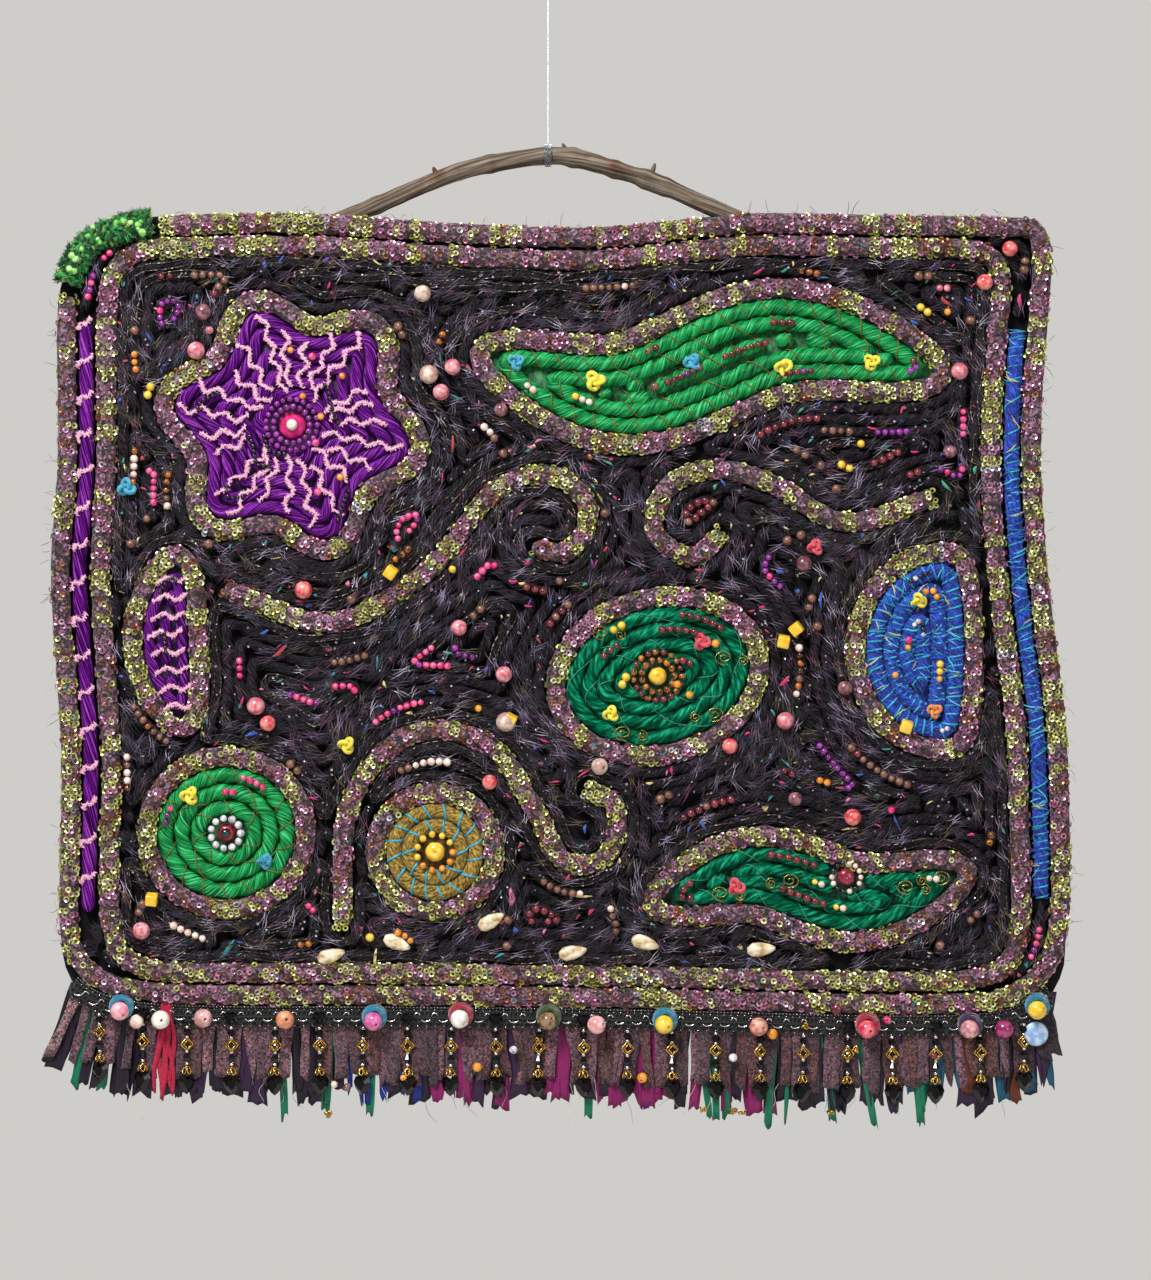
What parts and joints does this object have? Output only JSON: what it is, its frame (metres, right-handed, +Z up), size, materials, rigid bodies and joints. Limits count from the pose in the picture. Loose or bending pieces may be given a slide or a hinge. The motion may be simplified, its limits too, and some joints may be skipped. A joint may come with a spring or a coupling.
{
  "type": "wall rug on a branch hanger",
  "caption": "Wall rug of coiled yarn rows, cord figures and sequin ropes with a beaded fringe, hung from a bent branch.",
  "frame": {"origin": "underside of the branch at its crown, in the plane of the flat back of the base cloth", "axes": "+Z up, +X to the right seen from the front, the front of the rug faces -Y"},
  "size_m": [0.6572, 0.0342, 0.7191],
  "materials": {
    "base_cotton": "black cotton cloth",
    "dark_yarn": "black and charcoal mohair and acrylic yarn, plied",
    "sequin_rope": "mauve speckled lurex knit with ring sequins",
    "violet_satin": "glossy satin strips",
    "green_cord": "twisted emerald cord",
    "teal_silk": "silky dark teal cord",
    "blue_wrapped_cord": "royal blue cord wrapped with turquoise yarn",
    "ochre_wrapped_cord": "ochre and blue wrapped cord",
    "green_chenille": "fuzzy emerald yarn",
    "mauve_knit": "speckled mauve knit strips",
    "dark_fringe": "strips of dark purple, magenta and green cloth",
    "black_braid": "black braid with glass and metal bead drops",
    "rose_bead": "marbled resin",
    "pearl_bead": "pearl resin",
    "peach_bead": "marbled resin",
    "magenta_bead": "glossy resin",
    "brown_bead": "marbled resin",
    "yellow_bead": "glossy resin",
    "crimson_bead": "glossy resin",
    "bark": "weathered bark",
    "clear_nylon": "clear nylon line",
    "ring_sequins": "lime, pink and copper ring sequins",
    "loose_fibres": "lilac mohair fibres and coloured slubs",
    "metal_trim": "gold-plated caps and stars",
    "silver_seed": "silver-lined seed beads and chain",
    "black_glass": "faceted black acrylic",
    "felt": "bright felt and wool discs",
    "purple_pearl": "purple pearl beads",
    "maroon_bead": "maroon wooden and glass beads",
    "pink_chenille": "pale pink chenille stitching"
  },
  "bodies": {
    "root": {"base_cloth": "base_cotton", "ground_rows": "dark_yarn", "border_rope_outer": "sequin_rope", "border_rope_inner": "sequin_rope", "scroll_left": "sequin_rope", "scroll_right": "sequin_rope", "scroll_low": "sequin_rope", "flower_outline": "sequin_rope", "flower_rows": "violet_satin", "long_leaf_outline": "sequin_rope", "long_leaf_rows": "green_cord", "roundel_outline": "sequin_rope", "roundel_rows": "green_cord", "medallion_outline": "sequin_rope", "medallion_rows": "teal_silk", "low_leaf_outline": "sequin_rope", "low_leaf_rows": "teal_silk", "fan_outline": "sequin_rope", "fan_rows": "blue_wrapped_cord", "daisy_outline": "sequin_rope", "daisy_rows": "ochre_wrapped_cord", "side_leaf_outline": "sequin_rope", "side_leaf_rows": "violet_satin", "flower_button": "magenta_bead", "roundel_bead": "crimson_bead", "medallion_bead": "yellow_bead", "daisy_bead": "yellow_bead", "low_leaf_bead": "crimson_bead", "corner_tuft": "green_chenille", "side_cord_left": "violet_satin", "side_cord_right": "blue_wrapped_cord", "fringe_back": "dark_fringe", "fringe_front": "mauve_knit", "bead_trim": "black_braid", "branch": "bark", "line_wraps": "clear_nylon", "hanging_line": "clear_nylon", "line_knot": "clear_nylon", "trim_bead_1": "rose_bead", "trim_bead_2": "pearl_bead", "trim_bead_3": "rose_bead", "trim_bead_4": "peach_bead", "trim_bead_5": "magenta_bead", "trim_bead_6": "pearl_bead", "trim_bead_7": "brown_bead", "trim_bead_8": "rose_bead", "trim_bead_9": "yellow_bead", "trim_bead_10": "peach_bead", "trim_bead_11": "crimson_bead", "trim_bead_12": "rose_bead", "trim_bead_13": "magenta_bead", "trim_bead_14": "yellow_bead"}
  },
  "joints": []
}
